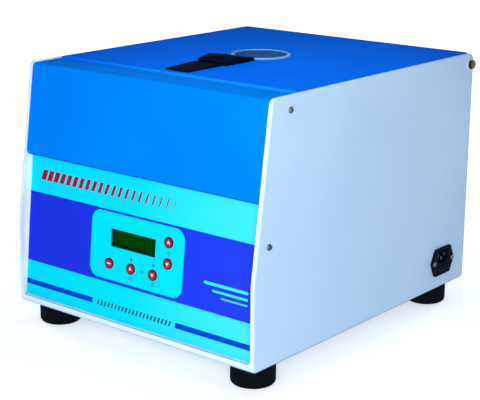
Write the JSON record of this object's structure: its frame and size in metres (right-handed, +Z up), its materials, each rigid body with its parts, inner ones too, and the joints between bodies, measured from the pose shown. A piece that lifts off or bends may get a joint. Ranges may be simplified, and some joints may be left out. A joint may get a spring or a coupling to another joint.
{
  "type": "butterfat centrifuge",
  "caption": "Bench centrifuge for butterfat tests: lidded steel cabinet with sloping front panel, window, sliding latch, spinning cup rotor, keys and power inlet.",
  "frame": {"origin": "on the bench, under the middle of the cabinet", "axes": "+X right seen from the front, +Y towards the back, +Z up"},
  "size_m": [0.3628, 0.4222, 0.318],
  "materials": {
    "shell_paint": "satin pale blue powder coat",
    "blue_paint": "gloss bright blue enamel",
    "white_paint": "satin white powder coat",
    "overlay_film": "printed polyester film, cyan and blue",
    "display_pane": "dark green tinted display pane",
    "window_pane": "clear polycarbonate",
    "window_trim": "gloss pale trim ring",
    "black_plastic": "fine-grained black moulding",
    "foot_rubber": "matte black",
    "soft_rubber": "matte dark grey",
    "zinc_steel": "zinc-plated",
    "brass": "dull brass",
    "pale_washer": "pale nylon",
    "stainless": "brushed stainless steel",
    "rotor_alloy": "clear anodised",
    "motor_alloy": "bare casting",
    "plate_paint": "black",
    "circuit_board": "green solder mask",
    "key_red": "satin red",
    "fuse_glass": "clear glass tube",
    "magnet": "nickel-plated"
  },
  "bodies": {
    "cabinet": {"cabinet_shell": "shell_paint", "rear_panel": "shell_paint", "hood": "blue_paint", "control_panel": "white_paint", "panel_overlay": "overlay_film", "display_window": "display_pane", "inlet_housing": "black_plastic", "lid_sensor": "black_plastic", "feet": "foot_rubber", "bowl_gasket": "soft_rubber", "shaft_seal": "soft_rubber", "motor_isolators": "soft_rubber", "side_screws": "zinc_steel", "foot_screws": "zinc_steel", "deck_screws": "zinc_steel", "inlet_screws": "zinc_steel", "rear_screws": "zinc_steel", "motor_bolts": "zinc_steel", "hinge_nuts": "zinc_steel", "hinge_spacers": "zinc_steel", "hinge_bolts": "brass", "board_spacers": "brass", "inlet_pins": "brass", "hinge_washers": "pale_washer", "bowl": "stainless", "chamber_deck": "stainless", "motor": "motor_alloy", "motor_plate": "plate_paint", "control_board": "circuit_board", "drive_board": "circuit_board", "lcd_module": "circuit_board"},
    "lid": {"lid_panel": "blue_paint", "lid_liner": "stainless", "window_ring": "window_trim", "lid_window": "window_pane", "latch_base": "black_plastic", "latch_screws": "zinc_steel", "bolt_guide": "zinc_steel", "sensor_magnet": "magnet"},
    "latch": {"latch_grip": "black_plastic", "latch_bolt": "zinc_steel"},
    "rotor": {"motor_shaft": "zinc_steel", "rotor_head": "rotor_alloy", "rotor_nut": "rotor_alloy", "cup_cushions": "soft_rubber", "cup_1": "stainless", "cup_2": "stainless", "cup_3": "stainless", "cup_4": "stainless", "cup_5": "stainless", "cup_6": "stainless", "cup_7": "stainless", "cup_8": "stainless"},
    "drawer": {"fuse_drawer": "black_plastic", "fuses": "fuse_glass"},
    "key_speed_up": {"key_speed_up": "key_red"},
    "key_speed_down": {"key_speed_down": "key_red"},
    "key_program": {"key_program": "key_red"},
    "key_time_up": {"key_time_up": "key_red"},
    "key_time_down": {"key_time_down": "key_red"}
  },
  "joints": [
    {"name": "lid_hinge", "type": "hinge", "parent": "cabinet", "child": "lid", "pos_m": [0, 0.2, 0.296], "axis": [-1, 0, 0], "range_deg": [0, 95]},
    {"name": "latch_slide", "type": "slide", "parent": "lid", "child": "latch", "axis": [0, -1, 0], "range_m": [0, 0.009]},
    {"name": "rotor_spin", "type": "hinge", "parent": "cabinet", "child": "rotor", "pos_m": [0, 0.019, 0.2], "axis": [0, 0, 1], "continuous": true},
    {"name": "speed_up_press", "type": "slide", "parent": "cabinet", "child": "key_speed_up", "axis": [0, 0.9949, -0.1011], "range_m": [0, 0.0005], "stiffness_N_per_m": 600, "springref_m": -0.0005},
    {"name": "speed_down_press", "type": "slide", "parent": "cabinet", "child": "key_speed_down", "axis": [0, 0.9949, -0.1011], "range_m": [0, 0.0005], "stiffness_N_per_m": 600, "springref_m": -0.0005},
    {"name": "program_press", "type": "slide", "parent": "cabinet", "child": "key_program", "axis": [0, 0.9949, -0.1011], "range_m": [0, 0.0005], "stiffness_N_per_m": 600, "springref_m": -0.0005},
    {"name": "time_up_press", "type": "slide", "parent": "cabinet", "child": "key_time_up", "axis": [0, 0.9949, -0.1011], "range_m": [0, 0.0005], "stiffness_N_per_m": 600, "springref_m": -0.0005},
    {"name": "time_down_press", "type": "slide", "parent": "cabinet", "child": "key_time_down", "axis": [0, 0.9949, -0.1011], "range_m": [0, 0.0005], "stiffness_N_per_m": 600, "springref_m": -0.0005},
    {"name": "fuse_drawer_slide", "type": "slide", "parent": "cabinet", "child": "drawer", "axis": [1, 0, 0], "range_m": [0, 0.016]}
  ]
}
